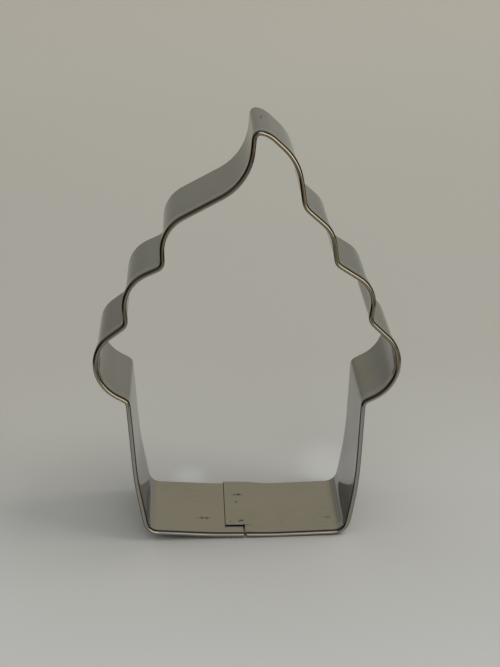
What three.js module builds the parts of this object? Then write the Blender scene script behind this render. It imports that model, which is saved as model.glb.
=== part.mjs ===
// Cookie cutter in the outline of a cupcake. One strip of bright steel is hemmed along its front
// edge, bent round to the outline and closed at the base by a notched lap with two spot welds.
// Millimetres, +Z up. The outline stands in the XZ plane, the hem faces -Y and the cutting edge
// faces +Y. The origin lies below the seam, on the surface that the cutter stands on.
import * as THREE from 'three';

// Strip
const STRIP_DEPTH = 25;
const SHEET = 0.35;
const HEM_RETURN = 3.7;
const HEM_GAP = 0.16;

// Seam at the middle of the base
const LAP_LENGTH = 4.2;
const LAP_CLEARANCE = 0.1;
const BUTT_GAP = 0.4;
const NOTCH_MARGIN = 0.4;
const JOGGLE_START = 0.3;
const JOGGLE_LENGTH = 3;
const SEAM_MARGIN = 3;
const WELD_DIAMETER = 2.2;
const FRONT_WELD_INSET = 1.5;
const REAR_WELD_INSET = 6.6;

// Cup: height of its neck, and how far the base rises from the seam to its corners
const CUP_HEIGHT = 33.6;
const BASE_RISE = 0.75;
const BASE_BEND = 60;

// Corners of the inner face before bending, from the base upwards. The distance from the seam's
// centre line is out, the bend radius is bend. Heights on the cup are up from the base, heights on
// the frosting are rises above the neck of the cup.
const CUP_RIGHT = {
  corner: { out: 23.2, bend: 3 },
  side: { out: 25.2, up: 13, bend: 90 },
  neck: { out: 25.7, bend: 1.6 },
};
const CUP_LEFT = {
  corner: { out: 22.1, bend: 2.6 },
  side: { out: 24.6, up: 14, bend: 60 },
  neck: { out: 26.2, bend: 1.6 },
};
const FROSTING_RIGHT = {
  lowerUnderside: { out: 33.6, rise: 4, bend: 9 },
  lowerShoulder: { out: 32.8, rise: 13.1, bend: 8 },
  lowerValley: { out: 26.3, rise: 19.2, bend: 2.2 },
  middleTier: { out: 27.2, rise: 26.8, bend: 6.5 },
  middleValley: { out: 18.5, rise: 32.3, bend: 2 },
  upperTier: { out: 17.4, rise: 39.6, bend: 6.5 },
  upperValley: { out: 11.2, rise: 45, bend: 3.5 },
  flank: { out: 9.6, rise: 55, bend: 12 },
  tipShoulder: { out: 3.5, rise: 60.6, bend: 5 },
  tip: { out: 0.8, rise: 61.3, bend: 0.8 },
};
const FROSTING_LEFT = {
  lowerUnderside: { out: 33.1, rise: 3.8, bend: 8.6 },
  lowerShoulder: { out: 33.4, rise: 12.6, bend: 7.2 },
  lowerValley: { out: 26.4, rise: 18, bend: 2 },
  middleTier: { out: 27.2, rise: 27.3, bend: 7.8 },
  middleValley: { out: 18.4, rise: 31.4, bend: 2 },
  upperTier: { out: 18.7, rise: 40, bend: 8 },
  sweep: { out: 0, rise: 50.4, bend: 12.9 },
};

// Facets
const ARC_SAGITTA = 0.03;
const ARC_STEP_LIMIT = THREE.MathUtils.degToRad(16);
const SHORTEST_FACET = 0.01;
const FOLD_STEPS = 5;
const CREASE_STEPS = 2;
const JOGGLE_STEPS = 6;
const WELD_SIDES = 32;

// Sizes that follow
const HEM_THICKNESS = 2 * SHEET + HEM_GAP;
const FOLD_RADIUS = HEM_THICKNESS / 2;
const FRONT = -STRIP_DEPTH / 2;
const REAR = STRIP_DEPTH / 2;
const FOLD_CENTRE = FRONT + FOLD_RADIUS;
const HEM_LINE = FRONT + HEM_RETURN;
const NOTCH_LINE = HEM_LINE + NOTCH_MARGIN;
const BASE_LEVEL = HEM_THICKNESS;
const LAP_LIFT = SHEET + LAP_CLEARANCE;
const BUTT_FACE = BUTT_GAP / 2;
const TONGUE_TIP = -BUTT_FACE - LAP_LENGTH;
const JOGGLE_END = BUTT_FACE + JOGGLE_START + JOGGLE_LENGTH;

const steel = new THREE.MeshStandardMaterial({ color: 0xb9b8b2, metalness: 1, roughness: 0.16 });
const weldSteel = new THREE.MeshStandardMaterial({ color: 0x8d8a84, metalness: 1, roughness: 0.5 });

// Corner points of one side, from the base upwards; side is +1 on the right and -1 on the left
function sideCorners(cup, frosting, side) {
  const neckLevel = BASE_LEVEL + CUP_HEIGHT;
  const corner = (size, height) => ({ at: new THREE.Vector2(side * size.out, height), bend: size.bend });
  return [
    corner(cup.corner, BASE_LEVEL + BASE_RISE),
    corner(cup.side, BASE_LEVEL + cup.side.up),
    corner(cup.neck, neckLevel),
    ...Object.values(frosting).map((size) => corner(size, neckLevel + size.rise)),
  ];
}

// Whole outline of the inner face, from the right end at the seam round to the left end
function outlineCorners() {
  const flatRight = new THREE.Vector2(JOGGLE_END + SEAM_MARGIN, BASE_LEVEL);
  const flatLeft = new THREE.Vector2(TONGUE_TIP - SEAM_MARGIN, BASE_LEVEL);
  return [
    { at: new THREE.Vector2(BUTT_FACE, BASE_LEVEL), bend: 0 },
    { at: flatRight, bend: BASE_BEND },
    ...sideCorners(CUP_RIGHT, FROSTING_RIGHT, 1),
    ...sideCorners(CUP_LEFT, FROSTING_LEFT, -1).reverse(),
    { at: flatLeft, bend: BASE_BEND },
    { at: new THREE.Vector2(-BUTT_FACE, BASE_LEVEL), bend: 0 },
  ];
}

// Length that a bend takes from each of the two straights that meet in it
function bendReach(before, corner, after) {
  const arriving = corner.at.clone().sub(before.at);
  const leaving = after.at.clone().sub(corner.at);
  return corner.bend * Math.tan(arriving.angleTo(leaving) / 2);
}

// Path of straights and tangent arcs; a bend is limited by the straights beside it. The arcs bring
// the straights between them, and the first straight, which holds the joggle, is drawn by itself.
function bentPath(corners) {
  const last = corners.length - 1;
  const reaches = corners.map((corner, i) => {
    return i === 0 || i === last ? 0 : bendReach(corners[i - 1], corner, corners[i + 1]);
  });
  const room = (i) => corners[i].at.distanceTo(corners[i + 1].at) / (reaches[i] + reaches[i + 1]);
  const path = new THREE.Path();
  path.moveTo(corners[0].at.x, corners[0].at.y);
  path.lineTo(JOGGLE_END, BASE_LEVEL);
  for (let i = 1; i < last; i += 1) {
    const share = Math.min(1, room(i - 1), room(i));
    const { at, bend } = corners[i];
    const back = corners[i - 1].at.clone().sub(at).setLength(reaches[i] * share);
    const ahead = corners[i + 1].at.clone().sub(at).setLength(reaches[i] * share);
    const turn = Math.sign(ahead.cross(back));
    const radius = bend * share;
    const side = back.clone().rotateAround(new THREE.Vector2(), (turn * -Math.PI) / 2).setLength(radius);
    const centre = at.clone().add(back).add(side);
    const startAngle = at.clone().add(back).sub(centre).angle();
    const endAngle = at.clone().add(ahead).sub(centre).angle();
    path.absarc(centre.x, centre.y, radius, startAngle, endAngle, turn < 0);
  }
  path.lineTo(corners[last].at.x, corners[last].at.y);
  return path;
}

// Number of straight facets along one curve of the path
function facetCount(curve) {
  const length = curve.getLength();
  if (length < SHORTEST_FACET) return 0;
  if (!curve.isEllipseCurve) return 1;
  const radius = curve.xRadius;
  const sweep = length / radius;
  const step = Math.min(ARC_STEP_LIMIT, 2 * Math.acos(1 - ARC_SAGITTA / radius));
  return Math.max(1, Math.ceil(sweep / step));
}

// Stations along the outline: place, outward normal and run from the right end
function outlineStations() {
  const path = bentPath(outlineCorners());
  const stations = [];
  const addStation = (point, tangent) => {
    const previous = stations[stations.length - 1];
    const run = previous ? previous.run + point.distanceTo(previous.point) : 0;
    stations.push({ point, normal: new THREE.Vector2(tangent.y, -tangent.x), run });
  };
  const baseTangent = new THREE.Vector2(1, 0);
  addStation(new THREE.Vector2(BUTT_FACE, BASE_LEVEL), baseTangent);
  for (let i = 0; i <= JOGGLE_STEPS; i += 1) {
    const x = BUTT_FACE + JOGGLE_START + (JOGGLE_LENGTH * i) / JOGGLE_STEPS;
    addStation(new THREE.Vector2(x, BASE_LEVEL), baseTangent);
  }
  for (const curve of path.curves) {
    const count = facetCount(curve);
    for (let i = 1; i <= count; i += 1) {
      addStation(curve.getPoint(i / count), curve.getTangent(i / count));
    }
  }
  return stations;
}

// Section of the strip as x outwards from the inner face and y along the depth. It runs from the
// cutting edge along the inner face, round the fold, back along the hem and along the outer face.
function stripSection() {
  const inner = [REAR, NOTCH_LINE, HEM_LINE].map((y) => new THREE.Vector2(0, y));
  const fold = new THREE.Path().absarc(FOLD_RADIUS, FOLD_CENTRE, FOLD_RADIUS, Math.PI, 2 * Math.PI);
  const hemEdge = [
    new THREE.Vector2(HEM_THICKNESS, HEM_LINE),
    new THREE.Vector2(HEM_THICKNESS - SHEET, HEM_LINE),
  ];
  const crease = new THREE.Path().absarc(FOLD_RADIUS, FOLD_CENTRE, HEM_GAP / 2, 0, Math.PI, true);
  const outer = [HEM_LINE, NOTCH_LINE, REAR].map((y) => new THREE.Vector2(SHEET, y));
  return [
    ...inner,
    ...fold.getPoints(FOLD_STEPS),
    ...hemEdge,
    ...crease.getPoints(CREASE_STEPS),
    ...outer,
  ];
}

// Inward lift of the wall where the right end climbs over the left one
function wallLift(run, depth) {
  const along = 1 - THREE.MathUtils.smoothstep(run, JOGGLE_START, JOGGLE_START + JOGGLE_LENGTH);
  const across = THREE.MathUtils.clamp((depth - HEM_LINE) / NOTCH_MARGIN, 0, 1);
  return LAP_LIFT * along * across;
}

// Triangles that close a loop of section points, turning the same way as the loop
function capTriangles(section, loop) {
  const contour = loop.map((index) => section[index]);
  const turn = Math.sign(THREE.ShapeUtils.area(contour));
  return THREE.ShapeUtils.triangulateShape(contour, []).map((face) => {
    const faceTurn = Math.sign(THREE.ShapeUtils.area(face.map((index) => contour[index])));
    const ordered = faceTurn === turn ? face : [...face].reverse();
    return ordered.map((index) => loop[index]);
  });
}

// Strip swept along the outline, with the tongue of plain sheet carried on past the notch
function bandGeometry() {
  const section = stripSection();
  const size = section.length;
  const rings = outlineStations().map(({ point, normal, run }) => {
    return section.map(({ x, y }) => {
      const offset = x - wallLift(run, y);
      return new THREE.Vector3(point.x + normal.x * offset, y, point.y + normal.y * offset);
    });
  });
  const notchOuter = size - 2;
  const tongueLoop = [0, 1, notchOuter, size - 1];
  const hemLoop = section.map((_, index) => index).slice(1, size - 1);
  const wholeLoop = section.map((_, index) => index);
  const vertices = rings.flat();
  const tongueStart = vertices.length;
  const tongue = tongueLoop.map((index) => rings[0][index].clone().setX(TONGUE_TIP));
  vertices.push(...tongue);

  const indices = [];
  const addQuad = (a, b, c, d) => indices.push(a, b, c, a, c, d);
  for (let ring = 0; ring + 1 < rings.length; ring += 1) {
    const here = ring * size;
    const next = here + size;
    for (let j = 0; j < size; j += 1) {
      const k = (j + 1) % size;
      addQuad(here + j, here + k, next + k, next + j);
    }
  }
  for (let j = 0; j < tongueLoop.length; j += 1) {
    const k = (j + 1) % tongueLoop.length;
    addQuad(tongueStart + j, tongueStart + k, tongueLoop[k], tongueLoop[j]);
  }
  const lastRing = (rings.length - 1) * size;
  for (const [a, b, c] of capTriangles(section, hemLoop)) indices.push(a, c, b);
  for (const [a, b, c] of capTriangles(section, wholeLoop)) {
    indices.push(lastRing + a, lastRing + b, lastRing + c);
  }
  indices.push(tongueStart, tongueStart + 2, tongueStart + 1);
  indices.push(tongueStart, tongueStart + 3, tongueStart + 2);

  const geometry = new THREE.BufferGeometry().setFromPoints(vertices);
  geometry.setIndex(indices);
  geometry.computeVertexNormals();
  return geometry;
}

// Weld nugget: a disc that fills the clearance between the two lapped layers
function weldMesh(name, depth) {
  const geometry = new THREE.CylinderGeometry(
    WELD_DIAMETER / 2,
    WELD_DIAMETER / 2,
    LAP_CLEARANCE,
    WELD_SIDES,
  );
  const mesh = new THREE.Mesh(geometry, weldSteel);
  mesh.name = name;
  mesh.rotation.x = Math.PI / 2;
  mesh.position.set(TONGUE_TIP + LAP_LENGTH / 2, depth, BASE_LEVEL + LAP_CLEARANCE / 2);
  return mesh;
}

const band = new THREE.Mesh(bandGeometry(), steel);
band.name = 'band';

const cutter = new THREE.Group();
cutter.add(band);
cutter.add(weldMesh('spot_weld_front', NOTCH_LINE + FRONT_WELD_INSET));
cutter.add(weldMesh('spot_weld_rear', REAR - REAR_WELD_INSET));

export default cutter;
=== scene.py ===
"""Cookie cutter of bright steel strip: its band, its spot welds and a plain studio stage."""
import math
from collections import namedtuple

import bpy
from bpy.props import FloatProperty, FloatVectorProperty, IntProperty, PointerProperty
from mathutils import Euler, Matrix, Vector


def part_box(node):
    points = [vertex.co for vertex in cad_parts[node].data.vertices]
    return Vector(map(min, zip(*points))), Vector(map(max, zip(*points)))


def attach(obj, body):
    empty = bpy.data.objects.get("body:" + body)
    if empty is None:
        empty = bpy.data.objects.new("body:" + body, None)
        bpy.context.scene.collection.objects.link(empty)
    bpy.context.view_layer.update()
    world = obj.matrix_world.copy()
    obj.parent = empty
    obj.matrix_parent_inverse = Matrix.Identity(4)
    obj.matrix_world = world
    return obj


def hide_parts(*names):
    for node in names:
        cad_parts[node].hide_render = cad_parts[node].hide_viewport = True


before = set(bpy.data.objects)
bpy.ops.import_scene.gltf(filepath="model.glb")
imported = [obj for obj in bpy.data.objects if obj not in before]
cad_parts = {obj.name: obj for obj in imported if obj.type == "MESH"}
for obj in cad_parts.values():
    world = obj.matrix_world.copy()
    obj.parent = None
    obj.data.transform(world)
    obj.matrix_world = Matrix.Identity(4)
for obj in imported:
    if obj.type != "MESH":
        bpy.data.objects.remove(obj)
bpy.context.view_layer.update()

bl_info = {
    "name": "Cookie cutter",
    "version": (1, 0, 0),
    "blender": (4, 5, 0),
    "location": "View3D > Sidebar > Cutter",
    "description": "Builds a hemmed steel strip cutter in a cupcake outline and its studio stage",
    "category": "Object",
}

BAND_LOW, BAND_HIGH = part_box("band")
WELDS = ("spot_weld_front", "spot_weld_rear")
WELD_LOW, WELD_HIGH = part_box("spot_weld_front")
MM = 0.001
FILM_WIDTH = 36.0
STRIP_MAP = "StripUV"

# Corners of the strip's inner face before bending, in millimetres: distance from the seam's centre
# line, height above the base for the cup or above the neck for the frosting, and bend radius
Corner = namedtuple("Corner", "out height bend")
CUP_RIGHT = {
    "corner": Corner(23.2, 0.75, 3.0),
    "side": Corner(25.2, 13.0, 90.0),
    "neck": Corner(25.7, 33.6, 1.6),
}
CUP_LEFT = {
    "corner": Corner(22.1, 0.75, 2.6),
    "side": Corner(24.6, 14.0, 60.0),
    "neck": Corner(26.2, 33.6, 1.6),
}
FROSTING_RIGHT = {
    "lower underside": Corner(33.6, 4.0, 9.0),
    "lower shoulder": Corner(32.8, 13.1, 8.0),
    "lower valley": Corner(26.3, 19.2, 2.2),
    "middle tier": Corner(27.2, 26.8, 6.5),
    "middle valley": Corner(18.5, 32.3, 2.0),
    "upper tier": Corner(17.4, 39.6, 6.5),
    "upper valley": Corner(11.2, 45.0, 3.5),
    "flank": Corner(9.6, 55.0, 12.0),
    "tip shoulder": Corner(3.5, 60.6, 5.0),
    "tip": Corner(0.8, 61.3, 0.8),
}
FROSTING_LEFT = {
    "lower underside": Corner(33.1, 3.8, 8.6),
    "lower shoulder": Corner(33.4, 12.6, 7.2),
    "lower valley": Corner(26.4, 18.0, 2.0),
    "middle tier": Corner(27.2, 27.3, 7.8),
    "middle valley": Corner(18.4, 31.4, 2.0),
    "upper tier": Corner(18.7, 40.0, 8.0),
    "sweep": Corner(0.0, 50.4, 12.9),
}
BASE_BEND = 60.0

# Pits that the electrodes left on the lap, in millimetres: X, Y and radius
Pit = namedtuple("Pit", "x y radius")
WELD_PITS = {
    "front by the butt": Pit(-0.35, -6.80, 0.24),
    "front beside it": Pit(-0.95, -7.10, 0.14),
    "front by the tip": Pit(-3.10, -7.25, 0.15),
    "rear main": Pit(-0.80, 5.90, 0.24),
    "rear beside it": Pit(-1.95, 5.75, 0.16),
    "rear middle": Pit(-1.60, 2.20, 0.15),
}

# Stains on the steel, in millimetres: centre and half sizes, with strength
Patch = namedtuple("Patch", "centre size strength")
STAINS = {
    "rear weld": Patch((-1.1, 5.9, 1.31), (1.4, 1.3, 0.6), 0.6),
    "middle of the lap": Patch((-1.6, 2.2, 1.31), (0.7, 1.2, 0.6), 0.4),
    "front weld": Patch((-0.7, -6.8, 1.31), (1.0, 0.9, 0.6), 0.5),
    "base left": Patch((-9.2, -4.8, 0.95), (2.2, 0.9, 2.0), 0.7),
    "base right": Patch((19.9, -5.4, 1.45), (2.2, 0.8, 2.0), 0.5),
    "tip": Patch((2.5, 3.2, 95.6), (0.45, 2.4, 2.0), 1.0),
    "bulge": Patch((32.4, -9.6, 40.4), (1.0, 0.9, 0.7), 0.6),
}

# Light that the inner walls throw on the floor, in millimetres: centre and half sizes, with strength
GLINTS = {
    "left": Patch((-12.6, 16.5, 0.0), (6.0, 9.0, 9.0), 0.6),
    "right": Patch((21.5, 20.0, 0.0), (9.5, 19.0, 9.0), 0.45),
}

# Sharpest angles that are still shaded smooth, and the least corner that is rounded
SMOOTH_STRIP = math.radians(35.0)
SMOOTH_PIT = math.radians(60.0)
SHEARED_CORNER = math.radians(60.0)

# Height of the floor of a pit above the lap, as a share of the pit's radius
PIT_FLOOR = 0.02

# Grains of the finishes, as repeats in a metre: in all directions, or along and across the strip
GRAIN = {"haze": 75.0, "stain rim": 900.0, "shear": 6000.0, "weld": 5000.0, "cloud": 6.0, "paper": 2500.0}
ROLLING_LINES = (45.0, 4200.0, 1.0)
SMEARS = (260.0, 900.0, 1.0)
SCUFFS = (900.0, 5000.0, 1.0)

# Span that most of a noise lies in, the soft rim of a spot, and the depths of fine bumps
NOISE_SPAN = (0.3, 0.7)
SPOT_RIM = (0.2, 1.0)
STEEL_RELIEF = 0.02 * MM
PAPER_RELIEF = 0.05 * MM

# Roughness of each finish, from the low to the high end of its grain
ROUGHNESS = {"steel": (0.07, 0.115), "shear": (0.35, 0.55), "weld": (0.4, 0.65), "paper": (0.82, 0.95)}

# Soft edges of the wear and the painted shade on the steel, in millimetres from the named edge or line:
# painted shade at the tongue's end and on the fold's flanks, a painted lit upper half of the edge at the
# notch, a darker tint and wear on the fold, wear at the cutting edge
WEAR_AND_SHADE = {
    "tongue's end": (0.08, 0.22),
    "cutting edge": (0.1, 0.8),
    "fold": (0.28, 0.9),
    "flank inside": (0.15, 0.31),
    "flank outside": (0.6, 1.0),
    "notch": (0.1, 0.3),
}

# Soft edges on the floor, in metres: along X for the paper's side and the tables, along Y for the rest
FLOOR_EDGES = {
    "near": (-0.12, 0.10),
    "far": (0.12, 0.65),
    "paper side": (0.13, 0.16),
    "paper front": (-0.10, -0.07),
    "paper behind": (0.0, 0.1),
    "table front": (-0.13, -0.04),
    "table right": (0.05, 0.13),
    "table far": (0.17, 0.24),
    "wall behind": (0.07, 0.25),
    "wall in front": (-0.6, -0.4),
}

# Soft edges of the surroundings, as parts of a unit direction, or of the nearness to the window's
ROOM_EDGES = {
    "wall tint": (0.2, 0.45),
    "wall top": (0.62, 0.78),
    "wall onward": (-0.1, 0.3),
    "shade sideways": (0.14, 0.4),
    "shade left to right": (-0.2, 0.2),
    "shade foot": (0.24, 0.36),
    "shade top": (0.38, 0.5),
    "ceiling onward": (0.3, 0.5),
    "ceiling foot": (0.3, 0.55),
    "front wall onward": (-0.85, -0.6),
    "front wall top": (0.25, 0.5),
    "dome upward": (0.2, 0.55),
    "dome onward": (-0.15, 0.15),
    "window": (0.89, 0.95),
}

# The wall behind: where it is brightest, its fall to the sides, its least glow and the shade left and right
WALL_PEAK = 0.15
WALL_FALL = 1.1
WALL_LEAST = 0.45
WALL_SHADE = (0.2, 0.08)

# The window in front: its direction and its strength
TO_WINDOW = (0.42, -0.90, 0.10)
WINDOW_STRENGTH = 1.65

# Lamps and the point they aim at, in metres
Lamp = namedtuple("Lamp", "place size tint")
KEY_LAMP = Lamp((1.15, -0.15, 1.75), (1.1, 1.1), (1.0, 0.97, 0.91))
FILL_LAMP = Lamp((0.05, -1.3, 1.3), (0.9, 2.2), (0.95, 0.96, 1.0))
LAMP_AIM = (0.0, 0.0, 0.04)


def length(name, description, default):
    """A size in metres that a user can change."""
    return FloatProperty(
        name=name, description=description, default=default, min=0.0,
        precision=5, subtype="DISTANCE", unit="LENGTH",
    )


def colour(name, description, default):
    """A linear colour that a user can change."""
    return FloatVectorProperty(
        name=name, description=description, default=default, size=3, min=0.0, max=1.0, subtype="COLOR",
    )


def power(name, description, default):
    """The power of a lamp that a user can change."""
    return FloatProperty(name=name, description=description, default=default, min=0.0, unit="POWER")


def angle(name, description, degrees):
    """An angle that a user can change."""
    return FloatProperty(
        name=name, description=description, default=math.radians(degrees), subtype="ANGLE",
    )


class CutterStripSettings(bpy.types.PropertyGroup):
    """Sizes of the strip, its hem and the lap at its seam."""

    depth: length("Depth", "Depth of the strip from hem to cutting edge", BAND_HIGH.y - BAND_LOW.y)
    sheet: length("Sheet", "Thickness of the sheet", 0.35 * MM)
    hem_return: length("Hem return", "How far the hem is folded back", 3.7 * MM)
    hem_gap: length("Hem gap", "Air inside the fold of the hem", 0.16 * MM)
    hem_swell: length("Hem swell", "How far the fold of the hem swells inwards", 0.2 * MM)
    hem_edge_gap: length("Hem edge gap", "Air under the raw edge of the hem", 0.03 * MM)
    lap_length: length("Lap length", "How far the tongue covers the other end", 4.2 * MM)
    lap_clearance: length("Lap clearance", "Air between the lapped layers", WELD_HIGH.z - WELD_LOW.z)
    butt_gap: length("Butt gap", "Gap between the two ends of the hem", 0.4 * MM)
    end_round: length("End round", "How far the right end of the hem is rounded back", 0.7 * MM)
    notch_margin: length("Notch margin", "From the end of the hem to the notch", 0.4 * MM)
    joggle_start: length("Joggle start", "From the butt to the start of the set-up", 0.2 * MM)
    joggle_length: length("Joggle length", "Length over which the tongue is set up", 6.1 * MM)
    seam_margin: length("Seam margin", "Flat base past the tip of the tongue", 3.0 * MM)
    draft: FloatProperty(
        name="Draft", description="Drop of the cutting edge below the hem, as a share of its height",
        default=0.0055, min=0.0, precision=4, subtype="FACTOR",
    )
    edge_round: length("Edge round", "Rounding of the sheared edges", 0.02 * MM)
    station: length("Station", "Spacing of the mesh along the outline", 0.3 * MM)
    ease_rounds: IntProperty(
        name="Ease rounds", description="How often bends are eased into the straights", default=6, min=0,
    )


class CutterSteelSettings(bpy.types.PropertyGroup):
    """Colours of the steel, its marks and the shade painted on it."""

    steel: colour("Steel", "Colour of the bright steel", (0.46, 0.455, 0.445))
    grazing: colour("Grazing tint", "Tint of the steel at grazing view", (0.75, 0.75, 0.76))
    haze: colour("Haze", "Colour of the steel under handling haze", (0.42, 0.41, 0.39))
    # Fold: a darker, warmer tint on the hem's fold, which dims its reflections
    fold: colour("Fold", "Colour of the stretched steel on the hem's fold", (0.37, 0.345, 0.29))
    # Flank: painted shade, near-black lines along both sides of the hem's fold
    flank: colour("Flank", "Colour of the dull lines beside the hem's fold", (0.06, 0.057, 0.05))
    stain: colour("Stain", "Colour of small stains", (0.17, 0.125, 0.08))
    heat: colour("Heat tint", "Colour of the steel round the welds", (0.44, 0.40, 0.34))
    # Sheared edge: dark, partly the raw edge's own dull tone and partly painted shade of the gap under the
    # tongue
    edge: colour("Sheared edge", "Colour of the raw sheared edges", (0.07, 0.068, 0.064))
    pit: colour("Pit", "Colour inside the weld pits", (0.08, 0.06, 0.04))


class CutterStageSettings(bpy.types.PropertyGroup):
    """Floor, surroundings, lamps and camera."""

    # Floor near and floor far are painted light: the paper is lighter and bluer in front and lighter far
    # behind
    floor_near: colour("Floor near", "Colour of the floor in front", (0.532, 0.539, 0.524))
    floor: colour("Floor", "Colour of the floor round the cutter", (0.42, 0.411, 0.357))
    floor_far: colour("Floor far", "Colour of the floor far behind", (0.488, 0.464, 0.395))
    backdrop: colour("Backdrop", "Colour that the camera sees past the floor", (0.30, 0.298, 0.287))
    # The tables are emissions that glow where the steel sees them past the paper, though they are no lamps
    table_left: colour("Table left", "Table that the steel sees on the left", (0.006, 0.006, 0.005))
    table_front: colour("Table front", "Table that the steel sees in front", (0.24, 0.21, 0.15))
    table_right: colour("Table right", "Table that the steel sees on the right", (0.12, 0.09, 0.06))
    table_far: colour("Table far", "Table that the steel sees far on the right", (0.46, 0.39, 0.26))
    window: colour("Window", "Light of the window that the steel sees on the right", (1.0, 0.88, 0.64))
    glint: colour("Glint", "Paper where the bright walls throw light on it", (0.60, 0.605, 0.58))
    dome: colour("Dome", "Soft light from all round on the floor", (0.632, 0.632, 0.65))
    room: colour("Room", "Colour of the dim room", (0.012, 0.012, 0.012))
    ceiling: colour("Ceiling", "Ceiling that the steel sees overhead", (0.30, 0.30, 0.30))
    front_wall: colour("Front wall", "Wall that the steel sees behind the camera", (0.11, 0.10, 0.08))
    wall_low: colour("Wall low", "Foot of the wall behind the cutter", (0.375, 0.365, 0.305))
    wall_high: colour("Wall high", "Upper part of the wall behind the cutter", (0.39, 0.355, 0.258))
    key_power: power("Key power", "Power of the soft key lamp on the right", 15.0)
    fill_power: power("Fill power", "Power of the tall fill lamp in front", 5.6)
    camera_place: FloatVectorProperty(
        name="Camera place", description="Where the camera stands", size=3,
        default=(-0.0142, -0.3110, 0.1737), subtype="XYZ", unit="LENGTH",
    )
    camera_heading: angle("Camera heading", "Turn to the right of +Y", 2.78)
    camera_pitch: angle("Camera pitch", "Look down from the horizon", 22.31)
    camera_roll: angle("Camera roll", "Turn about the view axis", 1.2)
    lens: FloatProperty(
        name="Lens", description="Focal length for a 36 mm sensor, in millimetres", default=79.88, min=1.0,
    )


# Outline and section of the strip

def hem_thickness(strip):
    """Thickness of the folded hem."""
    return 2.0 * strip.sheet + strip.hem_gap


def hem_line(strip):
    """Depth at which the hem's raw edge lies."""
    return -strip.depth / 2.0 + strip.hem_return


def notch_line(strip):
    """Depth at which the notch ends and the tongue begins."""
    return hem_line(strip) + strip.notch_margin


def fold_radius(strip):
    """Radius of the middle line of the hem's fold."""
    return (strip.sheet + strip.hem_gap + strip.hem_swell) / 2.0


def fold_centre(strip):
    """Depth of the centre of the hem's fold."""
    return fold_radius(strip) + (strip.sheet - strip.depth) / 2.0


def lap_lift(strip):
    """How far the tongue is set up over the other end."""
    return strip.sheet + strip.lap_clearance


def tongue_tip(strip):
    """X of the tongue's end."""
    return -strip.butt_gap / 2.0 - strip.lap_length


def flat_right(strip):
    """X at which the flat of the base ends on the right of the seam."""
    return strip.butt_gap / 2.0 + strip.joggle_start + strip.joggle_length


def side_corners(cup, frosting, side, base_level):
    """Corner points and bends of one side, from the base upwards, in metres."""
    neck_level = base_level + cup["neck"].height * MM
    rows = [(corner, base_level) for corner in cup.values()]
    rows += [(corner, neck_level) for corner in frosting.values()]
    return [
        (Vector((side * corner.out * MM, level + corner.height * MM)), corner.bend * MM)
        for corner, level in rows
    ]


def outline_corners(strip):
    """Corners of the whole outline, from the right end at the seam round to the left end."""
    base_level = hem_thickness(strip)
    butt = strip.butt_gap / 2.0
    flat_left = tongue_tip(strip) - strip.seam_margin
    return [
        (Vector((butt, base_level)), 0.0),
        (Vector((flat_right(strip), base_level)), BASE_BEND * MM),
        *side_corners(CUP_RIGHT, FROSTING_RIGHT, 1.0, base_level),
        *reversed(side_corners(CUP_LEFT, FROSTING_LEFT, -1.0, base_level)),
        (Vector((flat_left, base_level)), BASE_BEND * MM),
        (Vector((-butt, base_level)), 0.0),
    ]


def rounded(corners, arc_step):
    """Points of a chain whose corners are rounded by tangent arcs."""
    points = [corners[0][0]]
    for (before, _), (at, bend), (after, _) in zip(corners, corners[1:], corners[2:]):
        back = (before - at).normalized()
        ahead = (after - at).normalized()
        half = back.angle(ahead) / 2.0
        centre = at + (back + ahead).normalized() * (bend / math.sin(half))
        start = at + back * (bend / math.tan(half)) - centre
        turn = math.copysign(math.pi - 2.0 * half, -back.cross(ahead))
        steps = max(2, math.ceil(abs(turn) / arc_step))
        for step in range(steps + 1):
            swing = turn * step / steps
            spun = Vector((
                start.x * math.cos(swing) - start.y * math.sin(swing),
                start.x * math.sin(swing) + start.y * math.cos(swing),
            ))
            points.append(centre + spun)
    points.append(corners[-1][0])
    return points


def even_points(points, spacing):
    """The same chain with points at an even spacing, ends kept."""
    runs = run_lengths(points)
    count = max(1, round(runs[-1] / spacing))
    spaced = []
    index = 0
    for step in range(count + 1):
        run = runs[-1] * step / count
        while index < len(points) - 2 and runs[index + 1] < run:
            index += 1
        span = runs[index + 1] - runs[index]
        share = 0.0 if span == 0.0 else (run - runs[index]) / span
        spaced.append(points[index].lerp(points[index + 1], min(1.0, share)))
    return spaced


def run_lengths(points):
    """Length along a chain at each of its points."""
    runs = [0.0]
    for here, there in zip(points, points[1:]):
        runs.append(runs[-1] + (there - here).length)
    return runs


def eased(points, rounds):
    """The chain with its bends eased into the straights; its ends stay."""
    for _ in range(rounds):
        middle = [
            (before + 2.0 * here + after) / 4.0
            for before, here, after in zip(points, points[1:], points[2:])
        ]
        points = [points[0], *middle, points[-1]]
    return points


def strip_stations(strip):
    """Outline points with their run from the butt face; the tongue has runs below zero."""
    arc_step = math.radians(2.0)
    chain = even_points(rounded(outline_corners(strip), arc_step), strip.station)
    chain = eased(chain, strip.ease_rounds)
    tip = Vector((tongue_tip(strip), chain[0].y))
    tongue = even_points([tip, chain[0]], strip.station)[:-1]
    runs = [point.x - chain[0].x for point in tongue]
    return tongue + chain, runs + run_lengths(chain)


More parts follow.
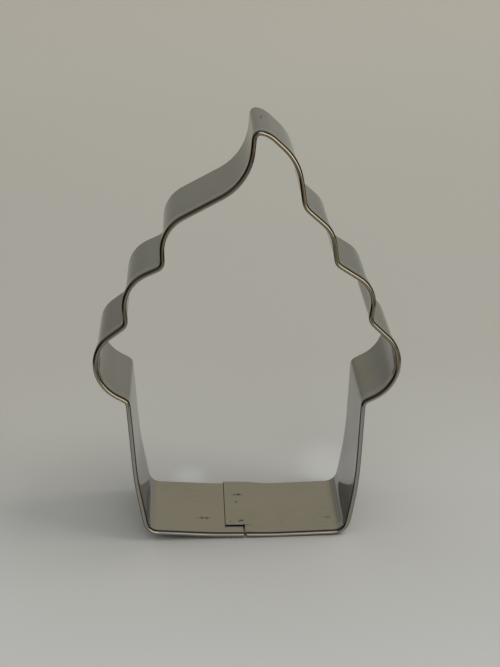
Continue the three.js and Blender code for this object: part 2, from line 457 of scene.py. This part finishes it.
def strip_section(strip):
    """Middle line of the strip's section, from cutting edge to hem: out from the inner face, and depth."""
    wall_steps, margin_steps, swell_steps, fold_steps, hem_steps = 10, 4, 8, 14, 4
    wall_out = strip.sheet / 2.0
    radius = fold_radius(strip)
    fold_out = hem_thickness(strip) - wall_out - radius
    fold_depth = fold_centre(strip)
    hem_edge_out = 1.5 * strip.sheet + strip.hem_edge_gap
    stops = (
        (strip.depth / 2.0, notch_line(strip), wall_steps),
        (notch_line(strip), hem_line(strip), margin_steps),
    )
    section = [(wall_out, a + (b - a) * i / n) for a, b, n in stops for i in range(n)]
    for i in range(swell_steps):
        share = i / swell_steps
        swell = strip.hem_swell * share * share * (3.0 - 2.0 * share)
        section.append((wall_out - swell, hem_line(strip) + (fold_depth - hem_line(strip)) * share))
    for i in range(fold_steps + 1):
        swing = math.pi * (1.0 + i / fold_steps)
        section.append((fold_out + radius * math.cos(swing), fold_depth + radius * math.sin(swing)))
    fold_end = Vector(section[-1])
    hem_edge = Vector((hem_edge_out, hem_line(strip)))
    section += [fold_end.lerp(hem_edge, i / hem_steps) for i in range(1, hem_steps + 1)]
    return [Vector(point) for point in section]


def placed(name, data):
    """A new object that holds the data, in the scene."""
    made = bpy.data.objects.new(name, data)
    bpy.context.scene.collection.objects.link(made)
    return made


def edge_chain(name, points, **attributes):
    """An object whose mesh is a chain of edges with float attributes on its points."""
    edges = [(i, i + 1) for i in range(len(points) - 1)]
    return point_object(name, [(point.x, point.y, 0.0) for point in points], edges, **attributes)


def point_object(name, points, edges, **attributes):
    """An object of points and edges with float attributes on its points."""
    mesh = bpy.data.meshes.new(name)
    mesh.from_pydata(points, edges, [])
    for key, values in attributes.items():
        layer = mesh.attributes.new(key, "FLOAT", "POINT")
        layer.data.foreach_set("value", values)
    return placed(name, mesh)


# Node trees

class Graph:
    """A node tree under construction."""

    # Colour sockets of a Mix node, which share their names with its other sockets
    mix_first, mix_second, mix_result = 6, 7, 2

    def __init__(self, tree):
        self.tree = tree

    def node(self, kind, links=(), **settings):
        """Adds a node; links pair its input's name or number with a value or another node's output."""
        node = self.tree.nodes.new(kind)
        for key, value in settings.items():
            setattr(node, key, value)
        for key, value in links:
            if isinstance(value, bpy.types.NodeSocket):
                self.tree.links.new(value, node.inputs[key])
            else:
                node.inputs[key].default_value = value
        return node

    def out(self, kind, output, links=(), **settings):
        """Adds a node and gives one of its outputs."""
        return self.node(kind, links, **settings).outputs[output]

    def maths(self, operation, first, *others):
        """Result of a maths operation carried along the values."""
        for other in others:
            first = self.out("ShaderNodeMath", "Value", [(0, first), (1, other)], operation=operation)
        return first

    def product(self, *values):
        """Product of the values."""
        return self.maths("MULTIPLY", *values)

    def largest(self, *values):
        """Largest of the values."""
        return self.maths("MAXIMUM", *values)

    def distance(self, value, mark=0.0):
        """How far the value is from a mark."""
        away = self.maths("SUBTRACT", value, mark) if mark else value
        return self.out("ShaderNodeMath", "Value", [(0, away)], operation="ABSOLUTE")

    def ranged(self, value, span, to_span, smooth=True):
        """The value carried from one span to another, with soft ends where smooth."""
        sockets = ("From Min", "From Max", "To Min", "To Max")
        return self.out(
            "ShaderNodeMapRange", "Result", [("Value", value), *zip(sockets, (*span, *to_span))],
            interpolation_type="SMOOTHSTEP" if smooth else "LINEAR",
        )

    def rising(self, value, span, smooth=True):
        """A step from 0 to 1 over a span."""
        return self.ranged(value, span, (0.0, 1.0), smooth)

    def falling(self, value, span):
        """A soft step from 1 to 0 over a span."""
        return self.ranged(value, span, (1.0, 0.0))

    def axes(self, vector):
        """The three parts of a vector."""
        return self.node("ShaderNodeSeparateXYZ", [("Vector", vector)]).outputs

    def mixed(self, share, first, second):
        """Two colours mixed by a share."""
        links = [("Factor", share), (self.mix_first, opaque(first)), (self.mix_second, opaque(second))]
        return self.out("ShaderNodeMix", self.mix_result, links, data_type="RGBA")

    def blended(self, share, first, second):
        """Two shaders mixed by a share."""
        return self.out("ShaderNodeMixShader", "Shader", [("Fac", share), (1, first), (2, second)])


class Sweep(Graph):
    """A Geometry Nodes tree with named inputs that ends in plain geometry with a material."""

    def __init__(self, name, **sockets):
        super().__init__(bpy.data.node_groups.new(name, "GeometryNodeTree"))
        interface = self.tree.interface
        interface.new_socket("Geometry", in_out="OUTPUT", socket_type="NodeSocketGeometry")
        sockets = {"Geometry": "NodeSocketGeometry", "Material": "NodeSocketMaterial", **sockets}
        for key, kind in sockets.items():
            interface.new_socket(key.replace("_", " "), in_out="INPUT", socket_type=kind)
        self.inputs = self.tree.nodes.new("NodeGroupInput")
        self.outputs = self.tree.nodes.new("NodeGroupOutput")

    def given(self, name):
        """Output socket of a named input."""
        return self.inputs.outputs[name]

    def attribute(self, name):
        """Output socket of a named float attribute."""
        return self.out("GeometryNodeInputNamedAttribute", "Attribute", [("Name", name)], data_type="FLOAT")

    def below(self, value, mark):
        """Whether the value is below a mark."""
        return self.out("FunctionNodeCompare", "Result", [("A", value), ("B", mark)], operation="LESS_THAN")

    def finish(self, geometry):
        """Ends the tree in Realize Instances and Set Material."""
        realized = self.out("GeometryNodeRealizeInstances", "Geometry", [("Geometry", geometry)])
        links = [("Geometry", realized), ("Material", self.given("Material"))]
        painted = self.out("GeometryNodeSetMaterial", "Geometry", links)
        self.tree.links.new(painted, self.outputs.inputs["Geometry"])
        return self.tree


def run_tree(piece, tree, values):
    """Adds the tree to the piece as a modifier with its inputs set by their identifiers."""
    modifier = piece.modifiers.new(tree.name, "NODES")
    modifier.node_group = tree
    for item in tree.interface.items_tree:
        if item.item_type == "SOCKET" and item.in_out == "INPUT" and item.name in values:
            modifier[item.identifier] = values[item.name]


def made_plain(piece):
    """Turns the evaluated piece into a plain mesh with no modifiers left on it."""
    graph = bpy.context.evaluated_depsgraph_get()
    mesh = bpy.data.meshes.new_from_object(piece.evaluated_get(graph), depsgraph=graph)
    piece.modifiers.clear()
    piece.data = mesh
    mesh.name = piece.name


def shade_smooth(piece, sharp_angle):
    """Shades the piece smooth, with edges sharper than an angle left crisp."""
    mesh = piece.data
    mesh.polygons.foreach_set("use_smooth", [True] * len(mesh.polygons))
    mesh.set_sharp_from_angle(angle=sharp_angle)


def strip_tree():
    """Sweeps the section along the outline, sets up the tongue, cuts the notch and rounds the hem's end."""
    number = "NodeSocketFloat"
    reach_in_rounds = 3.0
    build = Sweep(
        "Hemmed strip", Section="NodeSocketObject", Lift=number, Joggle_start=number, Joggle_end=number,
        Hem_front=number, Notch_line=number, End_round=number, Fold_start=number, Fold_end=number,
        Draft=number, Cutting_edge=number,
    )
    outline = build.out("GeometryNodeMeshToCurve", "Curve", [("Mesh", build.given("Geometry"))])
    outline = build.out("GeometryNodeSetCurveNormal", "Curve", [("Curve", outline)], mode="Z_UP")
    profile = build.out("GeometryNodeObjectInfo", "Geometry", [("Object", build.given("Section"))])
    profile = build.out("GeometryNodeMeshToCurve", "Curve", [("Mesh", profile)])
    swept = build.out("GeometryNodeCurveToMesh", "Mesh", [("Curve", outline), ("Profile Curve", profile)])

    run = build.attribute("run")
    depth = build.attribute("depth")
    girth = build.attribute("girth")
    hem_front = build.given("Hem front")
    end_round = build.given("End round")
    along = build.falling(run, (build.given("Joggle start"), build.given("Joggle end")))
    across = build.rising(depth, (hem_front, build.given("Notch line")), smooth=False)
    lift = build.product(along, across, build.given("Lift"))
    _, height, _ = build.axes(build.out("GeometryNodeInputPosition", "Position"))
    to_edge = build.rising(depth, (hem_front, build.given("Cutting edge")), smooth=False)
    drop = build.product(height, to_edge, build.given("Draft"))
    round_fold = build.rising(girth, (build.given("Fold start"), build.given("Fold end")))
    round_run = build.falling(run, (0.0, build.product(end_round, reach_in_rounds)))
    set_back = build.product(round_fold, round_run, end_round)
    rise = build.maths("SUBTRACT", lift, drop)
    offset = build.out("ShaderNodeCombineXYZ", "Vector", [("X", set_back), ("Y", rise)])
    formed = build.out("GeometryNodeSetPosition", "Geometry", [("Geometry", swept), ("Offset", offset)])

    on_tongue = build.below(run, 0.0)
    before_notch = build.below(depth, build.given("Notch line"))
    in_notch = build.out(
        "FunctionNodeBooleanMath", "Boolean", [(0, on_tongue), (1, before_notch)], operation="AND",
    )
    notched = build.out(
        "GeometryNodeDeleteGeometry", "Geometry",
        [("Geometry", formed), ("Selection", in_notch)], domain="FACE",
    )
    place = build.out("ShaderNodeCombineXYZ", "Vector", [("X", run), ("Y", girth)])
    mapped = build.out(
        "GeometryNodeStoreNamedAttribute", "Geometry",
        [("Geometry", notched), ("Name", STRIP_MAP), ("Value", place)], data_type="FLOAT2", domain="CORNER",
    )
    upright = (math.pi / 2.0, 0.0, 0.0)
    stood = build.out("GeometryNodeTransform", "Geometry", [("Geometry", mapped), ("Rotation", upright)])
    return build.finish(stood)


def pit_tree():
    """Sets a shallow ringed pit on each point, as wide as the point says."""
    sides, lip_sides, lip, lip_height = 28, 10, 0.22, 0.35
    build = Sweep("Weld pits", Pit_floor="NodeSocketFloat")
    circle = "GeometryNodeCurvePrimitiveCircle"
    rim = build.out(circle, "Curve", [("Resolution", sides), ("Radius", 1.0)])
    lip_section = build.out(circle, "Curve", [("Resolution", lip_sides), ("Radius", lip)])
    ring = build.out("GeometryNodeCurveToMesh", "Mesh", [("Curve", rim), ("Profile Curve", lip_section)])
    low_ring = build.out(
        "GeometryNodeTransform", "Geometry", [("Geometry", ring), ("Scale", (1.0, 1.0, lip_height))],
    )
    thickness = build.product(build.given("Pit floor"), 2.0)
    disc = build.out(
        "GeometryNodeMeshCylinder", "Mesh", [("Vertices", sides), ("Radius", 1.0), ("Depth", thickness)],
        fill_type="TRIANGLE_FAN",
    )
    pit = build.out("GeometryNodeJoinGeometry", "Geometry", [("Geometry", disc), ("Geometry", low_ring)])
    set_out = build.out(
        "GeometryNodeInstanceOnPoints", "Instances",
        [("Points", build.given("Geometry")), ("Instance", pit), ("Scale", build.attribute("radius"))],
    )
    return build.finish(set_out)


# Materials

class Finish(Graph):
    """A material under construction, with its Principled BSDF."""

    def __init__(self, name, **constants):
        self.material = bpy.data.materials.new(name)
        self.material.use_nodes = True
        super().__init__(self.material.node_tree)
        self.surface = self.tree.nodes["Principled BSDF"]
        for key, value in constants.items():
            self.surface.inputs[key.replace("_", " ")].default_value = value

    def object_place(self):
        """Object coordinates."""
        return self.out("ShaderNodeTexCoord", "Object")

    def noise(self, vector, scale, detail=3.0, roughness=0.5):
        """Noise at a vector."""
        links = [("Vector", vector), ("Scale", scale), ("Detail", detail), ("Roughness", roughness)]
        return self.out("ShaderNodeTexNoise", "Fac", links)

    def lines(self, vector, grain, detail=3.0, roughness=0.5):
        """Noise drawn out into lines by a grain of its own on each axis."""
        drawn = self.out("ShaderNodeMapping", "Vector", [("Vector", vector), ("Scale", grain)])
        return self.noise(drawn, 1.0, detail, roughness)

    def spot(self, vector, patch, wobble):
        """A soft mask about a patch, as strong as the patch says, with an uneven rim."""
        local = self.out(
            "ShaderNodeMapping", "Vector",
            [("Vector", vector), ("Location", metres(patch.centre)), ("Scale", metres(patch.size))],
            vector_type="TEXTURE",
        )
        away = self.out("ShaderNodeVectorMath", "Value", [(0, local)], operation="LENGTH")
        uneven = self.maths("ADD", away, wobble)
        return self.product(self.falling(uneven, SPOT_RIM), patch.strength)

    def set(self, **sockets):
        """Links outputs to the surface's sockets."""
        for key, value in sockets.items():
            self.tree.links.new(value, self.surface.inputs[key.replace("_", " ")])

    def bump(self, height, strength, distance):
        """Bump from a height."""
        links = [("Height", height), ("Strength", strength), ("Distance", distance)]
        self.set(Normal=self.out("ShaderNodeBump", "Normal", links))


def opaque(tint):
    """A colour with full alpha, or an output as it is."""
    return tint if isinstance(tint, bpy.types.NodeSocket) else (*tint, 1.0)


def metres(millimetres):
    """Several millimetres in metres."""
    return tuple(value * MM for value in millimetres)


def handling_haze(finish, place, strip):
    """Mask of the haze that handling leaves, in clouds smeared along the strip."""
    cloud_span, smear_span = (0.42, 0.72), (0.35, 0.7)
    cloud = finish.noise(place, GRAIN["haze"], detail=5.0, roughness=0.6)
    smear = finish.lines(strip, SMEARS, detail=4.0, roughness=0.65)
    return finish.product(finish.rising(cloud, cloud_span), finish.rising(smear, smear_span))


def heat_patch(name):
    """The patch that the heat of a weld tints, in millimetres."""
    reach, strength = 0.9, 0.35
    low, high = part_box(name)
    size = (high.x - low.x) * reach / MM
    return Patch((low + high) / 2.0 / MM, (size, size, size), strength)


def weld_marks(finish, steel, base, place):
    """The base colour with heat tint and stains on it, and the mask of the stains."""
    rim_span, rim_wobble = (0.25, 0.75), (-0.45, 0.75)
    rim = finish.noise(place, GRAIN["stain rim"], detail=4.0, roughness=0.7)
    wobble = finish.ranged(rim, rim_span, rim_wobble)
    for weld in WELDS:
        base = finish.mixed(finish.spot(place, heat_patch(weld), wobble), base, steel.heat)
    stained = finish.largest(*[finish.spot(place, stain, wobble) for stain in STAINS.values()])
    return finish.mixed(stained, base, steel.stain), stained


def edge_marks(finish, steel, base, strip, marks):
    """The base colour with painted shade at the tongue's end and on the fold's flanks and a darker, warmer
    tint on the fold, and the masks of the shaded tongue's end and of wear.
    """
    scuff_span = (0.45, 0.65)
    run, girth, _ = finish.axes(strip)
    # Painted shade: a dark band along the tongue's end, in the sheared edge's colour
    shaded_tongue_end = finish.falling(finish.maths("SUBTRACT", run, marks["tip"]), metres(WEAR_AND_SHADE["tongue's end"]))
    from_fold = finish.distance(girth, marks["fold"])
    near_fold = finish.falling(from_fold, metres(WEAR_AND_SHADE["fold"]))
    near_edge = finish.falling(girth, metres(WEAR_AND_SHADE["cutting edge"]))
    # Painted shade: near-black lines along both flanks of the fold
    flank = finish.product(
        finish.rising(from_fold, metres(WEAR_AND_SHADE["flank inside"])),
        finish.falling(from_fold, metres(WEAR_AND_SHADE["flank outside"])),
    )
    # The fold takes a darker, warmer tint; its flanks and the tongue's end take painted shade
    tints = ((shaded_tongue_end, 0.9, steel.edge), (near_fold, 0.85, steel.fold), (flank, 0.85, steel.flank))
    for mask, strength, tint in tints:
        base = finish.mixed(finish.product(mask, strength), base, tint)
    scuffs = finish.rising(finish.lines(strip, SCUFFS), scuff_span)
    worn = finish.product(finish.largest(near_fold, near_edge), scuffs)
    return base, shaded_tongue_end, worn


def steel_material(steel, marks):
    """Bright rolled steel: rolling lines, handling haze, stains, heat tint, a worn fold and edge, a darker
    fold, and painted shade on the fold's flanks and at the tongue's end.
    """
    finish = Finish("bright_steel", Metallic=1.0, Specular_Tint=opaque(steel.grazing))
    place = finish.object_place()
    strip = finish.out("ShaderNodeUVMap", "UV", uv_map=STRIP_MAP)
    haze = handling_haze(finish, place, strip)
    base = finish.mixed(haze, steel.steel, steel.haze)
    base, stained = weld_marks(finish, steel, base, place)
    base, shaded_tongue_end, worn = edge_marks(finish, steel, base, strip, marks)
    rolled = finish.lines(strip, ROLLING_LINES, detail=4.0)
    rough = finish.ranged(rolled, NOISE_SPAN, ROUGHNESS["steel"])
    roughened = ((haze, 0.05), (stained, 0.25), (worn, 0.06), (shaded_tongue_end, 0.3))
    for mask, amount in roughened:
        rough = finish.maths("ADD", rough, finish.product(mask, amount))
    finish.set(Base_Color=base, Roughness=rough)
    finish.bump(rolled, strength=0.04, distance=STEEL_RELIEF)
    return finish.material


def sheared_material(steel, strip):
    """Raw sheared edge: dark, partly its own dull tone and partly painted shade of the gap under the
    tongue, with a fine break; the upper half of the tongue's front edge takes the steel's colour as a
    painted lit half.
    """
    break_shine, lit_ramp_half = 1.5, 0.04 * MM
    finish = Finish("sheared_edge", Metallic=1.0, Specular_Tint=opaque(steel.edge))
    place = finish.object_place()
    grain = finish.noise(place, GRAIN["shear"])
    bright = tuple(channel * break_shine for channel in steel.edge)
    broken = finish.mixed(grain, steel.edge, bright)
    _, onward, upward = finish.axes(place)
    middle = hem_thickness(strip) + lap_lift(strip) - strip.sheet / 2.0
    # Painted light and shade: the upper half of the tongue's front edge takes the steel's colour, the lower
    # half stays dark
    lit_upper_half = finish.product(
        finish.rising(upward, (middle - lit_ramp_half, middle + lit_ramp_half)),
        finish.falling(finish.distance(onward, notch_line(strip)), metres(WEAR_AND_SHADE["notch"])),
    )
    finish.set(
        Base_Color=finish.mixed(lit_upper_half, broken, steel.steel),
        Roughness=finish.ranged(grain, NOISE_SPAN, ROUGHNESS["shear"]),
    )
    finish.bump(grain, strength=0.2, distance=STEEL_RELIEF)
    return finish.material


def weld_material(name, steel):
    """Dull fused steel with a burnt grain."""
    burnt_span = (0.45, 0.75)
    finish = Finish(name, Metallic=1.0)
    grain = finish.noise(finish.object_place(), GRAIN["weld"], detail=4.0)
    finish.set(
        Base_Color=finish.mixed(finish.rising(grain, burnt_span), steel.pit, steel.heat),
        Roughness=finish.ranged(grain, NOISE_SPAN, ROUGHNESS["weld"]),
    )
    finish.bump(grain, strength=0.3, distance=STEEL_RELIEF)
    return finish.material


def floor_material(stage):
    """Matt paper, painted lighter and bluer in front and lighter far behind as painted light; past its
    edges the steel sees a glowing table or the surroundings, and the camera more paper.
    """
    drift_reach = (-0.02, 0.02)
    finish = Finish("paper_floor", Specular_IOR_Level=0.1)
    place = finish.object_place()
    across, onward, _ = finish.axes(place)
    cloud = finish.noise(place, GRAIN["cloud"], detail=2.0)
    drift = finish.ranged(cloud, NOISE_SPAN, drift_reach)
    reach = finish.maths("ADD", onward, drift)
    # Painted light: lighter, bluer paper in front and lighter paper far behind
    paper = finish.mixed(finish.rising(reach, FLOOR_EDGES["near"]), stage.floor_near, stage.floor)
    paper = finish.mixed(finish.rising(reach, FLOOR_EDGES["far"]), paper, stage.floor_far)
    for glint in GLINTS.values():
        paper = finish.mixed(finish.spot(place, glint, drift), paper, stage.glint)
    grain = finish.noise(place, GRAIN["paper"])
    finish.set(Base_Color=paper, Roughness=finish.ranged(grain, NOISE_SPAN, ROUGHNESS["paper"]))
    finish.bump(grain, strength=0.08, distance=PAPER_RELIEF)

    # The table past the paper glows as an emission though it is no lamp, for all rays but the camera's
    table = stage.table_left
    for name in ("table front", "table right", "table far"):
        tint = getattr(stage, name.replace(" ", "_"))
        table = finish.mixed(finish.rising(across, FLOOR_EDGES[name]), table, tint)
    table = finish.out("ShaderNodeEmission", "Emission", [("Color", table)])
    on_paper = finish.product(
        finish.falling(finish.distance(across), FLOOR_EDGES["paper side"]),
        finish.rising(onward, FLOOR_EDGES["paper front"]),
    )
    past = finish.largest(
        finish.rising(onward, FLOOR_EDGES["wall behind"]),
        finish.falling(onward, FLOOR_EDGES["wall in front"]),
    )
    rays = finish.node("ShaderNodeLightPath").outputs
    as_paper = finish.largest(
        on_paper, finish.rising(onward, FLOOR_EDGES["paper behind"]), rays["Is Camera Ray"],
    )
    seen = finish.blended(as_paper, table, finish.surface.outputs["BSDF"])
    through = finish.out("ShaderNodeBsdfTransparent", "BSDF")
    seen = finish.blended(finish.product(past, rays["Is Glossy Ray"]), seen, through)
    finish.tree.links.new(seen, finish.tree.nodes["Material Output"].inputs["Surface"])
    return finish.material


# Lamps and surroundings

def soft_lamp(name, setup, watts):
    """An area lamp of a width and height that looks at the cutter."""
    lamp = bpy.data.lights.new(name, "AREA")
    lamp.shape = "RECTANGLE"
    lamp.size, lamp.size_y = setup.size
    lamp.energy = watts
    lamp.color = setup.tint
    light = placed(name, lamp)
    light.location = setup.place
    aim = Vector(LAMP_AIM) - Vector(setup.place)
    light.rotation_euler = aim.to_track_quat("-Z", "Y").to_euler()
    return light


class Surroundings(Graph):
    """The world under construction: lights by direction, for the rays that see them."""

    def __init__(self, name):
        self.world = bpy.data.worlds.new(name)
        self.world.use_nodes = True
        super().__init__(self.world.node_tree)
        self.tree.nodes.remove(self.tree.nodes["Background"])
        self.towards = self.out("ShaderNodeTexCoord", "Generated")
        self.sideways, self.onward, self.upward = self.axes(self.towards)

    def light(self, tint, strength):
        """Light of a colour, as strong as a direction says."""
        links = [("Color", opaque(tint)), ("Strength", strength)]
        return self.out("ShaderNodeBackground", "Background", links)

    def wall(self, stage):
        """The pale wall behind the cutter, brightest a little to the right, with a soft shade beside it."""
        from_peak = self.maths("POWER", self.maths("SUBTRACT", self.sideways, WALL_PEAK), 2.0)
        glow = self.maths("SUBTRACT", 1.0, self.product(from_peak, WALL_FALL))
        shade = self.product(
            self.rising(self.distance(self.sideways), ROOM_EDGES["shade sideways"]),
            self.ranged(self.sideways, ROOM_EDGES["shade left to right"], WALL_SHADE),
            self.rising(self.upward, ROOM_EDGES["shade foot"]),
            self.falling(self.upward, ROOM_EDGES["shade top"]),
        )
        strength = self.product(
            self.largest(glow, WALL_LEAST),
            self.maths("SUBTRACT", 1.0, shade),
            self.falling(self.upward, ROOM_EDGES["wall top"]),
            self.rising(self.onward, ROOM_EDGES["wall onward"]),
        )
        height = self.rising(self.upward, ROOM_EDGES["wall tint"])
        return self.light(self.mixed(height, stage.wall_low, stage.wall_high), strength)

    def window(self, stage):
        """The window in front on the right."""
        links = [(0, self.towards), (1, TO_WINDOW)]
        nearness = self.out("ShaderNodeVectorMath", "Value", links, operation="DOT_PRODUCT")
        shine = self.ranged(nearness, ROOM_EDGES["window"], (0.0, WINDOW_STRENGTH))
        return self.light(stage.window, shine)

    def ceiling(self, stage):
        """The strip of ceiling overhead."""
        strength = self.product(
            self.falling(self.distance(self.onward), ROOM_EDGES["ceiling onward"]),
            self.rising(self.upward, ROOM_EDGES["ceiling foot"]),
        )
        return self.light(stage.ceiling, strength)

    def front_wall(self, stage):
        """The dim wall behind the camera."""
        strength = self.product(
            self.falling(self.onward, ROOM_EDGES["front wall onward"]),
            self.falling(self.upward, ROOM_EDGES["front wall top"]),
        )
        return self.light(stage.front_wall, strength)

    def dome(self, stage):
        """Soft light for the floor from all round, apart from low in front."""
        strength = self.largest(
            self.rising(self.upward, ROOM_EDGES["dome upward"]),
            self.rising(self.onward, ROOM_EDGES["dome onward"]),
        )
        return self.light(stage.dome, strength)

    def finish(self, stage):
        """Shows the room to the steel, the backdrop to the camera and the dome to the rest."""
        room = self.light(stage.room, 1.0)
        for part in (self.wall, self.window, self.ceiling, self.front_wall):
            room = self.out("ShaderNodeAddShader", "Shader", [(0, room), (1, part(stage))])
        backdrop = self.light(stage.backdrop, 1.0)
        rays = self.node("ShaderNodeLightPath").outputs
        seen = self.blended(rays["Is Glossy Ray"], self.dome(stage), room)
        seen = self.blended(rays["Is Camera Ray"], seen, backdrop)
        self.tree.links.new(seen, self.tree.nodes["World Output"].inputs["Surface"])
        return self.world


# Operators

class CUTTER_OT_band(bpy.types.Operator):
    """Make the hemmed strip, bent to the outline and lapped at its seam"""

    bl_idname = "cutter.band"
    bl_label = "Make band"
    bl_options = {"REGISTER", "UNDO"}

    def execute(self, context):
        strip = context.scene.cutter_strip
        steel = context.scene.cutter_steel
        points, runs = strip_stations(strip)
        section = strip_section(strip)
        girths = run_lengths(section)
        fold_rows = [g for g, p in zip(girths, section) if p.y <= fold_centre(strip)]
        marks = {
            "start": fold_rows[0], "end": fold_rows[-1],
            "fold": (fold_rows[0] + fold_rows[-1]) / 2.0, "tip": runs[0],
        }
        band = edge_chain("steel_band", points, run=runs)
        profile = edge_chain("strip_section", section, depth=[p.y for p in section], girth=girths)
        run_tree(band, strip_tree(), {
            "Section": profile,
            "Material": steel_material(steel, marks),
            "Lift": lap_lift(strip),
            "Joggle start": strip.joggle_start,
            "Joggle end": strip.joggle_start + strip.joggle_length,
            "Hem front": fold_centre(strip),
            "Notch line": notch_line(strip),
            "Cutting edge": strip.depth / 2.0,
            "Draft": strip.draft,
            "End round": strip.end_round,
            "Fold start": marks["start"],
            "Fold end": marks["end"],
        })
        made_plain(band)
        bpy.data.objects.remove(profile)
        self.thicken(band, strip, sheared_material(steel, strip))
        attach(band, "root")
        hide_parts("band")
        return {"FINISHED"}

    def thicken(self, band, strip, edge_material):
        """Gives the swept sheet its thickness and its sheared edges a small rounding."""
        band.data.materials.append(edge_material)
        sheet = band.modifiers.new("Sheet", "SOLIDIFY")
        sheet.thickness = strip.sheet
        sheet.offset = 0.0
        sheet.use_even_offset = True
        sheet.use_quality_normals = True
        sheet.material_offset_rim = 1
        edge = band.modifiers.new("Sheared edge", "BEVEL")
        edge.width = strip.edge_round
        edge.segments = 2
        edge.limit_method = "ANGLE"
        edge.angle_limit = SHEARED_CORNER
        made_plain(band)
        shade_smooth(band, SMOOTH_STRIP)
        even = band.modifiers.new("Even normals", "WEIGHTED_NORMAL")
        even.keep_sharp = True
        made_plain(band)


class CUTTER_OT_welds(bpy.types.Operator):
    """Finish the two weld nuggets in the lap and the pits above them"""

    bl_idname = "cutter.welds"
    bl_label = "Make welds"
    bl_options = {"REGISTER", "UNDO"}

    def execute(self, context):
        strip = context.scene.cutter_strip
        steel = context.scene.cutter_steel
        nugget_material = weld_material("weld_nugget", steel)
        for name in WELDS:
            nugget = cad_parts[name]
            nugget.data.materials.clear()
            nugget.data.materials.append(nugget_material)
        top = hem_thickness(strip) + lap_lift(strip)
        places = [(pit.x * MM, pit.y * MM, top) for pit in WELD_PITS.values()]
        pits = point_object("weld_pits", places, [], radius=[pit.radius * MM for pit in WELD_PITS.values()])
        run_tree(pits, pit_tree(), {"Material": weld_material("weld_pit", steel), "Pit floor": PIT_FLOOR})
        made_plain(pits)
        shade_smooth(pits, SMOOTH_PIT)
        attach(pits, "root")
        return {"FINISHED"}


class CUTTER_OT_stage(bpy.types.Operator):
    """Make the floor, the surroundings, the lamps and the camera"""

    bl_idname = "cutter.stage"
    bl_label = "Make stage"
    bl_options = {"REGISTER", "UNDO"}

    def execute(self, context):
        scene = context.scene
        stage = scene.cutter_stage
        self.make_floor(stage, scene.cutter_strip)
        self.make_lamps(stage)
        scene.world = Surroundings("room").finish(stage)
        self.make_camera(scene, stage)
        scene.view_settings.view_transform = "Standard"
        return {"FINISHED"}

    def make_floor(self, stage, strip):
        """The floor leans so that hem and cutting edge both stand on it, to the right of the seam."""
        reach, lean = 10.0, 0.032
        hem_contact = fold_centre(strip)
        slope = (strip.sheet + strip.hem_gap) / (strip.depth / 2.0 - hem_contact)
        corners = [
            (x, y, (y - hem_contact) * slope + (x - flat_right(strip)) * lean)
            for x, y in ((-reach, -reach), (reach, -reach), (reach, reach), (-reach, reach))
        ]
        mesh = bpy.data.meshes.new("floor")
        mesh.from_pydata(corners, [], [(0, 1, 2, 3)])
        mesh.materials.append(floor_material(stage))
        floor = placed("floor", mesh)

    def make_lamps(self, stage):
        """A soft key from the right, which doesn't show in the steel, and a tall fill from the front."""
        soft_lamp("key", KEY_LAMP, stage.key_power).visible_glossy = False
        soft_lamp("fill", FILL_LAMP, stage.fill_power)

    def make_camera(self, scene, stage):
        """The camera stands a little above the cutter and looks down at it."""
        nearest = 0.01
        lens = bpy.data.cameras.new("camera")
        lens.lens = stage.lens
        lens.sensor_width = FILM_WIDTH
        lens.clip_start = nearest
        camera = placed("camera", lens)
        camera.location = stage.camera_place
        turn = Euler((0.0, 0.0, -stage.camera_heading)).to_matrix()
        tilt = Euler((math.pi / 2.0 - stage.camera_pitch, 0.0, 0.0)).to_matrix()
        roll = Euler((0.0, 0.0, stage.camera_roll)).to_matrix()
        camera.rotation_euler = (turn @ tilt @ roll).to_euler()
        scene.camera = camera


class CUTTER_PT_panel(bpy.types.Panel):
    """Settings and steps of the cookie cutter"""

    bl_idname = "CUTTER_PT_panel"
    bl_label = "Cookie cutter"
    bl_space_type = "VIEW_3D"
    bl_region_type = "UI"
    bl_category = "Cutter"

    def draw(self, context):
        for group, operator in zip(GROUPS, ("cutter.band", "cutter.welds", "cutter.stage")):
            box = self.layout.box()
            settings = getattr(context.scene, group)
            for name in settings.bl_rna.properties.keys():
                if name not in ("rna_type", "name"):
                    box.prop(settings, name)
            box.operator(operator)


GROUPS = {
    "cutter_strip": CutterStripSettings,
    "cutter_steel": CutterSteelSettings,
    "cutter_stage": CutterStageSettings,
}
CLASSES = (*GROUPS.values(), CUTTER_OT_band, CUTTER_OT_welds, CUTTER_OT_stage, CUTTER_PT_panel)


def register():
    """Registers the classes and their settings."""
    for cls in CLASSES:
        bpy.utils.register_class(cls)
    for name, group in GROUPS.items():
        setattr(bpy.types.Scene, name, PointerProperty(type=group))


def unregister():
    """Removes the settings and the classes."""
    for name in GROUPS:
        delattr(bpy.types.Scene, name)
    for cls in reversed(CLASSES):
        bpy.utils.unregister_class(cls)


def main():
    """Builds the cutter and its stage."""
    register()
    bpy.ops.cutter.band()
    bpy.ops.cutter.welds()
    bpy.ops.cutter.stage()


if __name__ == "__main__":
    main()
